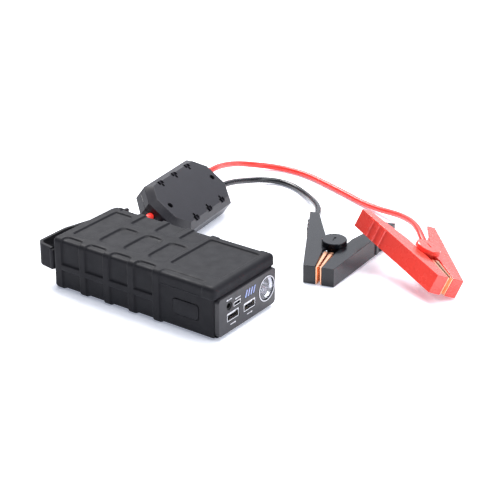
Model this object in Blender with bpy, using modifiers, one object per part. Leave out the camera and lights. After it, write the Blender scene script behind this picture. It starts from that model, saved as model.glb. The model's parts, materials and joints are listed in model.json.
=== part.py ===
"""A pocket jump starter: a rubber-armoured power pack, its smart-box lead and two battery clamps.

Sizes in the tables below are millimetres and degrees; MM turns them into Blender's metres.
+X is the pack's port end, +Y the side of the high-current socket and +Z is up.
The origin is the middle of the pack's underside.
"""

import math

import bmesh
import bpy
from mathutils import Matrix, Vector

MM = 0.001
GAP = 0.3

# ---- pack: the rubber armour ----
REAR, FRONT = -75.0, 73.0
HALF_WIDTH = 36.6
HEIGHT = 41.0
EDGE_ROUND = 3.4
CORNER_ROUND = 4.0
STRAP_CORNER_ROUND = 8.0
RECESS = 1.2
BAND_RECESS = 0.6
CAVITY = ((-71.5, -33.0, 2.5), (70.5, 33.0, 38.3))
PANEL_START, PANEL_PITCH, PANEL_LENGTH = -66.4, 22.7, 16.6
PANEL_COUNT = 4
LOWER_PANEL_TOP, UPPER_PANEL_FOOT = 16.0, 21.0
WRAP_EDGE = -29.3
FRONT_ZONE_START, FRONT_ZONE_TOP = 24.6, 31.8
BAND_END = 62.0

# ---- pack: the case, the front panel and what it carries ----
CASE_LOW, CASE_HIGH = (-71.2, -32.7, 2.8), (70.2, 32.7, 38.0)
CASE_WALL = 1.5
CASE_SPLIT = 24.5
PANEL_BACK, PANEL_FACE = 70.5, 75.0
PANEL_HALF_WIDTH, PANEL_FOOT, PANEL_HEAD = 34.1, 2.9, 31.6
PORT_CENTRES = {"usb_port_near": (-17.3, 14.2), "usb_port_far": (2.5, 13.9)}
USB_SIZE = (13.8, 6.4)
USB_WALL = 0.6
MICRO_CENTRE, MICRO_SIZE = (-12.1, 21.7), (8.6, 3.2)
JACK_CENTRE, JACK_RADIUS = (-22.1, 23.2), 2.9
LIGHT_START, LIGHT_PITCH, LIGHT_HEIGHT, LIGHT_LEAN = (-1.7, 24.3), 3.2, 5.4, 20.0
LIGHT_WIDTH = 1.3
LIGHT_COUNT = 4
TORCH_CENTRE, TORCH_RADIUS = (23.3, 18.4), 9.7

# ---- pack: button, board and cells ----
BUTTON_CENTRE, BUTTON_SIZE = (47.3, 18.0), (22.3, 11.6)
BUTTON_FACE, BUTTON_BACK = -35.9, -34.0
BOARD_LOW, BOARD_HIGH = (27.0, -26.0, 17.8), (69.5, 12.0, 19.4)
CELL_LOW, CELL_SIZE, CELL_COUNT = (-38.0, -30.0, 4.8), (62.0, 60.0, 9.6), 3

# ---- the high-current socket, its plug and its strap cover ----
SOCKET_X, SOCKET_Z = -57.0, 20.5
CONTACT_SPREAD = 4.5
SOCKET_FACE, SOCKET_BACK = 35.0, 13.5
NOSE_SIZE, NOSE_TIP = (18.0, 9.0), 22.8
GRIP_SIZE, GRIP_START, GRIP_END = (21.0, 13.0), 36.9, 46.2
STRAP_ROOT = (-77.4, -34.2)
STRAP_FOOT, STRAP_HEAD = 15.4, 33.0
STRAP_THICK = 2.4
STRAP_SLOPE = 0.18
STRAP_BACK = -89.3

# ---- the smart box, in its own frame: X along it, Z out of its cover ----
BOX_CENTRE, BOX_TURN = (-57.9, 109.1, 31.6), (35.4, 1.0, 98.2)
BOX_END, BOX_END_HALF = 45.4, 12.1
BOX_SIDE, BOX_SIDE_HALF = 25.6, 33.4
BOX_BEVEL, BOX_SPLIT, BOX_DEPTH = 5.0, -11.0, -22.5
BOX_FOOT_BEVEL = 4.0
BOX_WALL = 2.0
VENT_PITCH, VENT_SLOT, VENT_POCKET = 21.0, (2.2, 5.0, 3.6), (6.6, 2.4, 1.5)
SCREW_X = 34.0
GLANDS = {"gland_red": (8.2, -9.5), "gland_black": (-7.0, -12.0)}
GLAND_START, GLAND_TIP = 41.2, 50.5

# ---- the clamps, each in its own frame: X from the jaws to the handles, pivot at 0 ----
CLAMPS = {
    "black": {"pivot": (71.3, 118.6, 1.9), "turn": (0.0, -2.0, 105.8), "cable_side": 1},
    "red": {"pivot": (136.8, 131.6, 10.3), "turn": (23.0, -6.6, 145.5), "cable_side": -1},
}
TIP, HANDLE_END = -40.5, 48.5
TIP_OUTER, END_OUTER = 11.9, 34.8
TIP_INNER, END_INNER = 2.4, 27.0
CLAMP_HEIGHT = 15.0
CLAMP_WALL = 1.8
LUG_RADIUS, EAR_RADIUS = 8.0, 7.0
PIN_RADIUS, PIN_HOLE = 2.5, 2.8
CAP_RADIUS, CAP_FOOT, CAP_HEAD = 9.7, 15.5, 19.1
JAW_END, TOOTH_PITCH, TOOTH_DEPTH = -13.5, 2.6, 1.0
GRIP_RIBS = (20.0, 27.0, 34.0)

# ---- cords: the points they pass, hand-laid, in the pack's frame ----
CABLE_RADIUS, LEAD_RADIUS, WIRE_RADIUS = 2.5, 2.9, 1.6
RED_ROUTE = [(-77.2, 157.7, 27.7), (-79.6, 170.0, 26.2), (-83.6, 184.0, 22.6), (-87.0, 202.0, 17.4),
             (-88.8, 220.0, 11.4), (-85.5, 236.0, 6.0), (-74.5, 247.0, 3.2), (-58.0, 250.5, 2.8),
             (-38.0, 249.0, 2.8), (-16.0, 242.5, 2.8), (7.0, 234.5, 2.8), (30.0, 226.0, 3.0),
             (52.0, 218.5, 4.8), (74.0, 209.0, 9.2), (92.0, 196.5, 13.4), (104.5, 185.0, 15.6),
             (114.5, 174.0, 16.0), (122.0, 166.0, 14.6), (129.0, 160.0, 13.0), (135.0, 155.0, 12.2),
             (139.6, 149.5, 12.0)]
BLACK_ROUTE = [(-66.4, 159.3, 16.8), (-67.2, 170.0, 15.2), (-67.8, 185.0, 11.8), (-67.2, 201.0, 7.4),
               (-64.4, 212.5, 4.8), (-57.3, 220.5, 3.3), (-46.5, 223.5, 2.8), (-33.0, 220.8, 2.8),
               (-20.0, 213.8, 3.4),
               (-8.0, 204.5, 5.4), (2.0, 195.0, 8.0), (11.0, 186.0, 10.0), (18.5, 177.0, 11.2),
               (24.5, 167.0, 11.8), (29.8, 156.5, 11.8), (35.5, 146.5, 11.4), (41.5, 137.5, 10.8),
               (47.6, 128.8, 10.4), (52.8, 121.8, 9.9)]
LEAD_ROUTES = {
    "input_lead_red": [(-61.5, 46.6, 23.8), (-61.6, 50.5, 24.0), (-61.6, 58.6, 25.4), (-62.0, 61.8, 25.4)],
    "input_lead_black": [(-53.4, 46.6, 20.2), (-53.4, 50.5, 20.2), (-54.0, 59.6, 20.0), (-54.4, 62.8, 20.0)],
}
WIRE_ROUTES = {
    "battery_wire_red": [(-61.5, 14.4, 20.5), (-61.5, 11.5, 20.5), (-58.0, 4.0, 25.0),
                         (-50.0, 0.0, 28.0), (-42.0, -1.0, 29.4), (-38.5, -1.0, 29.4)],
    "battery_wire_black": [(-52.5, 14.4, 20.5), (-52.5, 11.5, 20.5), (-50.5, 7.0, 15.0),
                           (-46.0, 8.0, 11.0), (-41.0, 8.0, 9.6), (-38.5, 8.0, 9.6)],
}

PALETTE = {
    "armour_rubber": ((0.035, 0.035, 0.040), 0.62, 0.0),
    "black_plastic": ((0.030, 0.031, 0.035), 0.42, 0.0),
    "grey_plastic": ((0.085, 0.085, 0.095), 0.48, 0.0),
    "red_plastic": ((0.80, 0.035, 0.025), 0.25, 0.0),
    "red_rubber": ((0.78, 0.045, 0.030), 0.40, 0.0),
    "black_rubber": ((0.018, 0.018, 0.020), 0.45, 0.0),
    "steel": ((0.62, 0.62, 0.64), 0.25, 1.0),
    "chrome": ((0.85, 0.85, 0.86), 0.08, 1.0),
    "copper": ((0.80, 0.42, 0.27), 0.30, 1.0),
    "brass": ((0.82, 0.62, 0.26), 0.28, 1.0),
    "board_green": ((0.02, 0.16, 0.07), 0.45, 0.0),
    "cell_silver": ((0.55, 0.56, 0.58), 0.38, 0.6),
    "clear_lens": ((0.86, 0.90, 0.95), 0.05, 0.0),
    "light_white": ((0.70, 0.78, 0.95), 0.35, 0.0),
    "socket_blue": ((0.03, 0.10, 0.40), 0.40, 0.0),
}


# ---------------------------------------------------------------- scene and helpers

def clear_scene():
    for item in list(bpy.data.objects):
        bpy.data.objects.remove(item, do_unlink=True)


def collection(name):
    made = bpy.data.collections.new(name)
    bpy.context.scene.collection.children.link(made)
    return made


def make_materials():
    made = {}
    for name, (colour, roughness, metallic) in PALETTE.items():
        item = bpy.data.materials.new(name)
        item.use_nodes = True
        shader = item.node_tree.nodes["Principled BSDF"]
        shader.inputs["Base Color"].default_value = (*colour, 1.0)
        shader.inputs["Roughness"].default_value = roughness
        shader.inputs["Metallic"].default_value = metallic
        made[name] = item
    return made


def own_material(name, kind):
    """Each piece carries its own copy of its kind of material."""
    item = MATERIALS[kind].copy()
    item.name = name + "_" + kind
    return item


def mesh_object(name, mesh):
    item = bpy.data.objects.new(name, mesh)
    CUTTERS.objects.link(item)
    item.hide_render = True
    item.display_type = "WIRE"
    return item


def from_bmesh(name, shape):
    mesh = bpy.data.meshes.new(name)
    shape.to_mesh(mesh)
    shape.free()
    return mesh_object(name, mesh)


def finish(item, kind, parent=None, smooth=None):
    """Turn a working shape into a piece of the model."""
    CUTTERS.objects.unlink(item)
    PARTS.objects.link(item)
    item.hide_render = False
    item.display_type = "TEXTURED"
    item.data.materials.clear()
    item.data.materials.append(own_material(item.name, kind))
    if parent:
        item.parent = parent
    if smooth:
        item.data.shade_smooth()
        item.data.set_sharp_from_angle(angle=math.radians(smooth))
    return item


def boolean(item, other, operation):
    other.parent = item.parent
    step = item.modifiers.new(operation.lower(), "BOOLEAN")
    step.operation = operation
    step.object = other
    return item


def cut(item, *others):
    for other in others:
        boolean(item, other, "DIFFERENCE")
    return item


def join(item, *others):
    for other in others:
        boolean(item, other, "UNION")
    return item


def frame(name, place, turn):
    """An empty that carries a group of pieces; turn is (roll, pitch, yaw)."""
    item = bpy.data.objects.new(name, None)
    PARTS.objects.link(item)
    item.location = Vector(place) * MM
    item.rotation_euler = [math.radians(angle) for angle in turn]
    return item


def block(name, low, high, bevel=0.0, segments=2, parent=None):
    shape = bmesh.new()
    bmesh.ops.create_cube(shape, size=1.0)
    size = [b - a for a, b in zip(low, high)]
    middle = [(a + b) / 2 for a, b in zip(low, high)]
    for vertex in shape.verts:
        vertex.co = Vector([c * s + m for c, s, m in zip(vertex.co, size, middle)]) * MM
    if bevel:
        bmesh.ops.bevel(shape, geom=shape.edges[:], offset=bevel * MM, segments=segments,
                        profile=0.5, affect="EDGES")
    item = from_bmesh(name, shape)
    item.parent = parent
    return item


def rod(name, radius, start, end, sides=24, end_radius=None, parent=None):
    """A cylinder or cone between two points."""
    start, end = Vector(start), Vector(end)
    along = end - start
    shape = bmesh.new()
    bmesh.ops.create_cone(shape, cap_ends=True, segments=sides, radius1=radius * MM,
                          radius2=(radius if end_radius is None else end_radius) * MM,
                          depth=along.length * MM)
    turn = along.to_track_quat("Z", "Y").to_matrix().to_4x4()
    bmesh.ops.transform(shape, verts=shape.verts,
                        matrix=Matrix.Translation((start + end) / 2 * MM) @ turn)
    item = from_bmesh(name, shape)
    item.parent = parent
    return item


def turned(name, profile, place, axis=(0, 0, 1), sides=32, parent=None):
    """A profile of (radius, height) pairs, outer side first from its top down, spun about its axis."""
    loops = profile[0] == profile[-1]
    count = len(profile) - 1
    mesh = bpy.data.meshes.new(name)
    mesh.from_pydata([(r * MM, 0.0, h * MM) for r, h in profile[:count if loops else None]],
                     [(i, (i + 1) % count if loops else i + 1) for i in range(count)], [])
    item = mesh_object(name, mesh)
    spin = item.modifiers.new("spin", "SCREW")
    spin.steps = spin.render_steps = sides
    spin.use_merge_vertices = True
    spin.merge_threshold = 0.00001
    item.location = Vector(place) * MM
    item.rotation_euler = Vector(axis).to_track_quat("Z", "Y").to_euler()
    item.parent = parent
    return item


def rounded(corners, steps=4):
    """An outline through corners of (x, y, radius), each rounded by an arc of its own radius."""
    points = []
    for index, (x, y, radius) in enumerate(corners):
        here = Vector((x, y))
        if radius <= 0:
            points.append(here)
            continue
        back = (Vector(corners[index - 1][:2]) - here).normalized()
        ahead = (Vector(corners[(index + 1) % len(corners)][:2]) - here).normalized()
        half = math.acos(max(-1.0, min(1.0, back.dot(ahead)))) / 2
        centre = here + (back + ahead).normalized() * radius / math.sin(half)
        first = here + back * radius / math.tan(half) - centre
        last = here + ahead * radius / math.tan(half) - centre
        sweep = first.angle_signed(last)
        for step in range(steps + 1):
            angle = -sweep * step / steps
            points.append(centre + Matrix.Rotation(angle, 2) @ first)
    return points


def rectangle(low, high, radius=0.0):
    return [(low[0], low[1], radius), (high[0], low[1], radius),
            (high[0], high[1], radius), (low[0], high[1], radius)]


def plate(name, outline, low, high, parent=None):
    """A flat outline in X and Y, filled and thickened from low to high."""
    curve = bpy.data.curves.new(name, "CURVE")
    curve.dimensions = "2D"
    curve.fill_mode = "BOTH"
    curve.extrude = (high - low) / 2 * MM
    spline = curve.splines.new("POLY")
    spline.points.add(len(outline) - 1)
    for point, (x, y) in zip(spline.points, outline):
        point.co = (x * MM, y * MM, 0.0, 1.0)
    spline.use_cyclic_u = True
    flat = bpy.data.objects.new(name + "_outline", curve)
    bpy.context.scene.collection.objects.link(flat)
    bpy.context.view_layer.update()
    mesh = bpy.data.meshes.new_from_object(flat.evaluated_get(bpy.context.evaluated_depsgraph_get()))
    bpy.data.objects.remove(flat, do_unlink=True)
    shape = bmesh.new()
    shape.from_mesh(mesh)
    bmesh.ops.remove_doubles(shape, verts=shape.verts, dist=0.00001)
    bmesh.ops.translate(shape, verts=shape.verts, vec=(0, 0, (low + high) / 2 * MM))
    bmesh.ops.recalc_face_normals(shape, faces=shape.faces)
    shape.to_mesh(mesh)
    shape.free()
    mesh.name = name
    item = mesh_object(name, mesh)
    item.parent = parent
    return item


def bevel_level(item, height, width, segments=3):
    """Round or chamfer the edges that run around a plate at one height."""
    shape = bmesh.new()
    shape.from_mesh(item.data)
    edges = [edge for edge in shape.edges
             if all(abs(v.co.z - height * MM) < 1e-6 for v in edge.verts) and len(edge.link_faces) == 2
             and abs(edge.link_faces[0].normal.z - edge.link_faces[1].normal.z) > 0.5]
    bmesh.ops.bevel(shape, geom=edges, offset=width * MM, segments=segments, profile=0.5,
                    affect="EDGES", clamp_overlap=True)
    shape.to_mesh(item.data)
    shape.free()
    return item


def stand_up(item):
    """Turn a plate drawn in (Y, Z) so that its thickness runs along X."""
    item.data.transform(Matrix(((0, 0, 1, 0), (1, 0, 0, 0), (0, 1, 0, 0), (0, 0, 0, 1))))
    return item


def face_out(item):
    """Turn a plate drawn in (X, Z) so that its thickness runs along Y."""
    item.data.transform(Matrix(((1, 0, 0, 0), (0, 0, 1, 0), (0, 1, 0, 0), (0, 0, 0, 1))))
    item.data.flip_normals()
    return item


def smooth_points(route, spacing):
    """Evenly spaced points on a smooth curve through the route's points."""
    knots = [Vector(point) for point in route]
    knots = [knots[0] * 2 - knots[1]] + knots + [knots[-1] * 2 - knots[-2]]
    dense = []
    for a, b, c, d in zip(knots, knots[1:], knots[2:], knots[3:]):
        for step in range(16):
            t = step / 16
            dense.append(0.5 * (2 * b + (c - a) * t + (2 * a - 5 * b + 4 * c - d) * t * t
                                + (3 * b - a - 3 * c + d) * t ** 3))
    dense.append(knots[-2])
    walked = [0.0]
    for a, b in zip(dense, dense[1:]):
        walked.append(walked[-1] + (b - a).length)
    count = max(3, round(walked[-1] / spacing))
    points, index = [], 0
    for step in range(count + 1):
        target = walked[-1] * step / count
        while index < len(walked) - 2 and walked[index + 1] < target:
            index += 1
        span = walked[index + 1] - walked[index]
        points.append(dense[index].lerp(dense[index + 1], (target - walked[index]) / span))
    return points


def tube(name, points, radius, kind, parent=None):
    curve = bpy.data.curves.new(name, "CURVE")
    curve.dimensions = "3D"
    curve.bevel_depth = radius * MM
    curve.bevel_resolution = 2
    curve.use_fill_caps = True
    spline = curve.splines.new("POLY")
    spline.points.add(len(points) - 1)
    for point, place in zip(spline.points, points):
        point.co = (*(Vector(place) * MM), 1.0)
    item = bpy.data.objects.new(name, curve)
    PARTS.objects.link(item)
    curve.materials.append(own_material(name, kind))
    item.parent = parent
    return item


# ---------------------------------------------------------------- the pack's rubber armour

def armour_body(name, inset):
    """The armour's outer form, or the same form shrunk on every side by inset."""
    corner = max(1.0, CORNER_ROUND - inset)
    strap_corner = STRAP_CORNER_ROUND - inset
    side = HALF_WIDTH - inset
    outline = rounded([(REAR + inset, -side, corner), (FRONT - inset, -side, corner),
                       (FRONT - inset, side, corner), (REAR + inset, side, strap_corner)])
    item = plate(name, outline, inset, HEIGHT - inset)
    edge = EDGE_ROUND - inset / 2
    bevel_level(item, HEIGHT - inset, edge)
    return bevel_level(item, inset, edge)


def recess_prism(name, x0, x1, y0, y1, z0, z1, radius=3.5):
    return plate(name, rounded(rectangle((x0, y0), (x1, y1), radius), 3), z0, z1)


def armour_recesses():
    """Prisms that mark where the armour's surface is sunk between its ribs."""
    prisms = []
    over, under = HEIGHT + 5, -5
    for index in range(PANEL_COUNT):
        x0 = PANEL_START + index * PANEL_PITCH
        x1 = x0 + PANEL_LENGTH
        for side, (y0, y1) in {"near": (-45, WRAP_EDGE), "far": (15.0 if index else 29.3, 45)}.items():
            prisms.append(recess_prism(f"{side}_upper_{index}", x0, x1, y0, y1, UPPER_PANEL_FOOT, over))
            foot = (y0, -31.0) if side == "near" else (31.0, y1)
            prisms.append(recess_prism(f"{side}_lower_{index}", x0, x1, *foot, under, LOWER_PANEL_TOP))
        if index:
            prisms.append(recess_prism(f"top_{index}", x0, x1, -22.0, 7.3, HEIGHT - 6, over, 5.0))
    prisms.append(recess_prism("top_rear", PANEL_START, -50.0, -23.0, 26.0, HEIGHT - 6, over, 2.0))
    prisms.append(recess_prism("top_front", 22.0, 66.0, -20.0, 28.0, HEIGHT - 6, over, 2.0))
    for side, (y0, y1) in {"near": (-45, -31.0), "far": (31.0, 45)}.items():
        prisms.append(recess_prism(f"{side}_zone", FRONT_ZONE_START, 90, y0, y1, under, FRONT_ZONE_TOP))
        edge = (y0, WRAP_EDGE) if side == "near" else (-WRAP_EDGE, y1)
        prisms.append(recess_prism(f"{side}_band", FRONT_ZONE_START, BAND_END, *edge, FRONT_ZONE_TOP, over))
    return prisms


def make_armour():
    item = armour_body("armour_sleeve", 0.0)
    cut(item, *armour_recesses())
    join(item, armour_body("armour_core", RECESS))
    band = armour_body("armour_band_core", BAND_RECESS)
    keep = join(block("band_near", (FRONT_ZONE_START + 1, -40, FRONT_ZONE_TOP), (BAND_END + 2, -28.5, 50)),
                block("band_far", (FRONT_ZONE_START + 1, 28.5, FRONT_ZONE_TOP), (BAND_END + 2, 40, 50)))
    join(item, boolean(band, keep, "INTERSECT"))
    cut(item, block("armour_cavity", *CAVITY))
    cut(item, block("armour_front_opening", (69.0, -PANEL_HALF_WIDTH - GAP, PANEL_FOOT - GAP),
                    (80.0, PANEL_HALF_WIDTH + GAP, PANEL_HEAD + GAP)))
    x, z = BUTTON_CENTRE
    width, height = [size / 2 + 0.5 for size in BUTTON_SIZE]
    pocket = plate("button_pocket", rounded(rectangle((x - width, z - height), (x + width, z + height), 3.0)),
                   -40.0, -32.0)
    cut(item, face_out(pocket))
    window = plate("socket_window", rounded(rectangle((SOCKET_X - 13, SOCKET_Z - 8.5),
                                                      (SOCKET_X + 13, SOCKET_Z + 8.5), 3.0)), 30.0, 40.0)
    cut(item, face_out(window))
    finish(item, "armour_rubber", smooth=35)


# ---------------------------------------------------------------- the case and the front panel

def make_case():
    inner_low = [value + CASE_WALL for value in CASE_LOW]
    inner_high = [90.0, CASE_HIGH[1] - CASE_WALL, CASE_HIGH[2] - CASE_WALL]
    halves = {"case_lower": (CASE_LOW, (*CASE_HIGH[:2], CASE_SPLIT - GAP / 2)),
              "case_upper": ((*CASE_LOW[:2], CASE_SPLIT + GAP / 2), CASE_HIGH)}
    for name, (low, high) in halves.items():
        item = block(name, low, high)
        cut(item, block(name + "_inside", inner_low, inner_high))
        cut(item, block(name + "_socket_hole", (SOCKET_X - 12.3, 25, SOCKET_Z - 7.8),
                        (SOCKET_X + 12.3, 40, SOCKET_Z + 7.8)))
        if name == "case_lower":
            x, z = BUTTON_CENTRE
            cut(item, block("stem_hole", (x - 3.3, -40, z - 3.3), (x + 3.3, -25, z + 3.3)))
        finish(item, "black_plastic")


def panel_opening(name, centre, size, radius=0.6):
    half = (size[0] / 2 + GAP, size[1] / 2 + GAP)
    low = (centre[0] - half[0], centre[1] - half[1])
    high = (centre[0] + half[0], centre[1] + half[1])
    return stand_up(plate(name, rounded(rectangle(low, high, radius), 2), 60.0, 90.0))


def make_front_panel():
    outline = rounded(rectangle((-PANEL_HALF_WIDTH, PANEL_FOOT), (PANEL_HALF_WIDTH, PANEL_HEAD), 3.0))
    item = plate("front_panel", outline, PANEL_BACK, PANEL_FACE)
    bevel_level(item, PANEL_FACE, 0.6, 1)
    stand_up(item)
    for name, centre in PORT_CENTRES.items():
        cut(item, panel_opening(name + "_opening", centre, USB_SIZE))
    cut(item, panel_opening("micro_opening", MICRO_CENTRE, MICRO_SIZE))
    for index in range(LIGHT_COUNT):
        opening = light_bar(f"light_opening_{index}", index, LIGHT_WIDTH + 2 * GAP, LIGHT_HEIGHT + 2 * GAP, 60, 90)
        cut(item, opening)
    y, z = JACK_CENTRE
    cut(item, rod("jack_opening", JACK_RADIUS + GAP, (60, y, z), (90, y, z)))
    y, z = TORCH_CENTRE
    cut(item, rod("torch_opening", TORCH_RADIUS + GAP, (60, y, z), (90, y, z), 40))
    finish(item, "grey_plastic")


def light_bar(name, index, width, height, back, face):
    """One slanting bar of the charge meter."""
    lean = math.tan(math.radians(LIGHT_LEAN)) * height / 2
    y, z = LIGHT_START[0] + index * LIGHT_PITCH, LIGHT_START[1]
    outline = [(y - lean - width / 2, z - height / 2), (y - lean + width / 2, z - height / 2),
               (y + lean + width / 2, z + height / 2), (y + lean - width / 2, z + height / 2)]
    return stand_up(plate(name, outline, back, face))


def make_ports():
    for name, (y, z) in PORT_CENTRES.items():
        half = (USB_SIZE[0] / 2, USB_SIZE[1] / 2)
        shell = block(name, (60.5, y - half[0], z - half[1]), (74.7, y + half[0], z + half[1]))
        cut(shell, block(name + "_inside", (62.0, y - half[0] + USB_WALL, z - half[1] + USB_WALL),
                         (80.0, y + half[0] - USB_WALL, z + half[1] - USB_WALL)))
        finish(shell, "steel")
        tongue = block(name.replace("port", "tongue"), (62.3, y - 5.7, z + 0.2), (73.2, y + 5.7, z + 2.1), 0.3, 1)
        finish(tongue, "black_plastic")
    y, z = MICRO_CENTRE
    half = (MICRO_SIZE[0] / 2, MICRO_SIZE[1] / 2)
    micro = block("micro_usb_port", (68.0, y - half[0], z - half[1]), (74.7, y + half[0], z + half[1]))
    cut(micro, block("micro_inside", (69.5, y - half[0] + 0.5, z - half[1] + 0.5),
                     (80.0, y + half[0] - 0.5, z + half[1] - 0.5)))
    join(micro, block("micro_tongue", (69.0, y - 2.6, z + 0.1), (73.6, y + 2.6, z + 0.7)))
    finish(micro, "steel")
    y, z = JACK_CENTRE
    jack = rod("charge_jack", JACK_RADIUS, (62.0, y, z), (74.4, y, z))
    cut(jack, rod("jack_bore", 2.1, (64.0, y, z), (80.0, y, z), 20))
    join(jack, rod("jack_pin", 0.65, (63.0, y, z), (73.0, y, z), 12))
    finish(jack, "black_plastic", smooth=35)


def make_lights_and_torch():
    for index in range(LIGHT_COUNT):
        bar = light_bar(f"charge_light_{index + 1}", index, LIGHT_WIDTH, LIGHT_HEIGHT, 71.5, 75.1)
        finish(bar, "light_white")
    y, z = TORCH_CENTRE
    radius = TORCH_RADIUS
    bowl = [(2.2, 0.0), (4.3, 2.0), (5.6, 4.0), (6.4, 6.0), (6.9, 8.0), (7.3, 9.2)]
    inner = bowl + [(9.0, 10.6), (9.0, 13.2)]
    outer = [(radius, 13.2), (radius, 9.8), (8.0, 9.2)] + [(r + 0.8, depth) for r, depth in reversed(bowl[:5])]
    profile = outer + inner
    cup = turned("torch_reflector", profile + [profile[0]], (62.0, y, z), (1, 0, 0), 32)
    finish(cup, "chrome", smooth=40)
    lens = turned("torch_lens", [(0, 1.9), (4.0, 1.8), (7.5, 1.4), (8.7, 0.9), (8.7, 0.0), (0, 0.0)],
                  (73.2, y, z), (1, 0, 0), 32)
    finish(lens, "clear_lens", smooth=40)
    chip = rod("torch_led", 2.6, (59.0, y, z), (61.7, y, z), 16)
    finish(chip, "light_white")


# ---------------------------------------------------------------- button, board, cells, socket

def make_button():
    x, z = BUTTON_CENTRE
    width, height = [size / 2 for size in BUTTON_SIZE]
    pad = plate("power_button", rounded(rectangle((x - width, z - height), (x + width, z + height), 2.6)),
                BUTTON_FACE, BUTTON_BACK)
    bevel_level(pad, BUTTON_FACE, 0.5, 2)
    face_out(pad)
    join(pad, block("button_stem", (x - 2.7, BUTTON_BACK - 0.5, z - 2.7), (x + 2.7, -31.4, z + 2.7)))
    finish(pad, "armour_rubber", smooth=35)
    finish(rod("switch_plunger", 1.6, (x, -31.1, z), (x, -28.6, z), 16), "black_plastic", smooth=35)
    body = block("switch_body", (x - 4, -29.9, z - 4), (x + 4, -26.3, z + 4))
    cut(body, rod("plunger_hole", 1.9, (x, -32.0, z), (x, -27.0, z), 16))
    finish(body, "black_plastic")


def make_board_and_cells():
    finish(block("main_board", BOARD_LOW, BOARD_HIGH), "board_green")
    for index in range(CELL_COUNT):
        lift = index * (CELL_SIZE[2] + GAP)
        low = (CELL_LOW[0], CELL_LOW[1], CELL_LOW[2] + lift)
        high = [a + b for a, b in zip(low, CELL_SIZE)]
        finish(block(f"battery_cell_{index + 1}", low, high, 1.2, 1), "cell_silver")


def make_socket():
    housing = block("socket_housing", (SOCKET_X - 12, SOCKET_BACK, SOCKET_Z - 7.5),
                    (SOCKET_X + 12, SOCKET_FACE, SOCKET_Z + 7.5), 0.8, 1)
    half = (NOSE_SIZE[0] / 2 + GAP, NOSE_SIZE[1] / 2 + GAP)
    cut(housing, block("socket_pocket", (SOCKET_X - half[0], NOSE_TIP - GAP, SOCKET_Z - half[1]),
                       (SOCKET_X + half[0], 45, SOCKET_Z + half[1])))
    for name, x in contact_places("socket_contact").items():
        cut(housing, rod(name + "_hole", 3.5, (x, 10, SOCKET_Z), (x, 25, SOCKET_Z), 20))
        contact = rod(name, 3.2, (x, 15.0, SOCKET_Z), (x, 33.5, SOCKET_Z), 20)
        cut(contact, rod(name + "_bore", 2.5, (x, 19.0, SOCKET_Z), (x, 45.0, SOCKET_Z), 20))
        finish(contact, "brass", smooth=35)
    finish(housing, "socket_blue")
    for name, route in WIRE_ROUTES.items():
        kind = "red_rubber" if name.endswith("red") else "black_rubber"
        tube(name, smooth_points(route, 4.5), WIRE_RADIUS, kind)


def contact_places(prefix):
    return {prefix + "_positive": SOCKET_X - CONTACT_SPREAD, prefix + "_negative": SOCKET_X + CONTACT_SPREAD}


def make_plug():
    grip = block("plug_housing", (SOCKET_X - GRIP_SIZE[0] / 2, GRIP_START, SOCKET_Z - GRIP_SIZE[1] / 2),
                 (SOCKET_X + GRIP_SIZE[0] / 2, GRIP_END, SOCKET_Z + GRIP_SIZE[1] / 2), 1.5, 2)
    join(grip, block("plug_nose", (SOCKET_X - NOSE_SIZE[0] / 2, NOSE_TIP, SOCKET_Z - NOSE_SIZE[1] / 2),
                     (SOCKET_X + NOSE_SIZE[0] / 2, GRIP_START + 2, SOCKET_Z + NOSE_SIZE[1] / 2)))
    for name, x in contact_places("plug_pin").items():
        cut(grip, rod(name + "_bore", 3.5, (x, 10, SOCKET_Z), (x, 36, SOCKET_Z), 20))
        cut(grip, rod(name + "_seat", PIN_RADIUS, (x, 34, SOCKET_Z), (x, 44.4, SOCKET_Z), 20))
        pin = rod(name, 2.2, (x, 24.5, SOCKET_Z), (x, 44.0, SOCKET_Z), 20)
        finish(pin, "brass", smooth=35)
    finish(grip, "black_plastic")


def make_strap():
    """The rubber strap that covers the socket: hinged at the pack's rear corner, standing ajar."""
    back = STRAP_BACK
    path = [(*STRAP_ROOT, 0), (back, -35.0, 3.5), (back, -6.0, 25.0), (-77.4, 40.0, 0), (-74.9, 50.4, 0)]
    line = [Vector((x, y)) for x, y, radius in path]
    walk = [line[0]] + [p for corner in (1, 2) for p in rounded(path)[1 + 5 * (corner - 1):1 + 5 * corner]]
    walk += line[3:]
    sides = ([], [])
    for index, here in enumerate(walk):
        along = (walk[min(index + 1, len(walk) - 1)] - walk[max(index - 1, 0)]).normalized()
        across = Vector((-along.y, along.x)) * STRAP_THICK / 2
        sides[0].append(here + across)
        sides[1].append(here - across)
    strap = plate("socket_cover_strap", sides[0] + sides[1][::-1], STRAP_FOOT, STRAP_HEAD)
    join(strap, rod("strap_bead", 2.0, (*STRAP_ROOT, STRAP_FOOT + 1.0), (*STRAP_ROOT, STRAP_HEAD - 1.0), 16))
    for shape in (strap, strap.modifiers[0].object):
        for vertex in shape.data.vertices:
            if vertex.co.y < -32.5 * MM:
                vertex.co.z -= STRAP_SLOPE * (vertex.co.x - back * MM)
    hinge = frame("strap_hinge", (*STRAP_ROOT, STRAP_FOOT), (0, 0, 0))
    offset = Vector((*STRAP_ROOT, STRAP_FOOT)) * MM
    for shape in (strap, strap.modifiers[0].object):
        shape.data.transform(Matrix.Translation(-offset))
        shape.parent = hinge
    finish(strap, "armour_rubber", hinge)


# ---------------------------------------------------------------- the lead and its smart box

def box_outline(inset):
    """The smart box's long octagon, shrunk by inset on every side."""
    slope = inset * 0.41
    end, end_half = BOX_END - inset, BOX_END_HALF - slope
    side, side_half = BOX_SIDE - inset, BOX_SIDE_HALF - slope
    quarter = [(end, end_half), (side_half, side)]
    return (quarter + [(-x, y) for x, y in reversed(quarter)] + [(-x, -y) for x, y in quarter]
            + [(x, -y) for x, y in reversed(quarter)])


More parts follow.
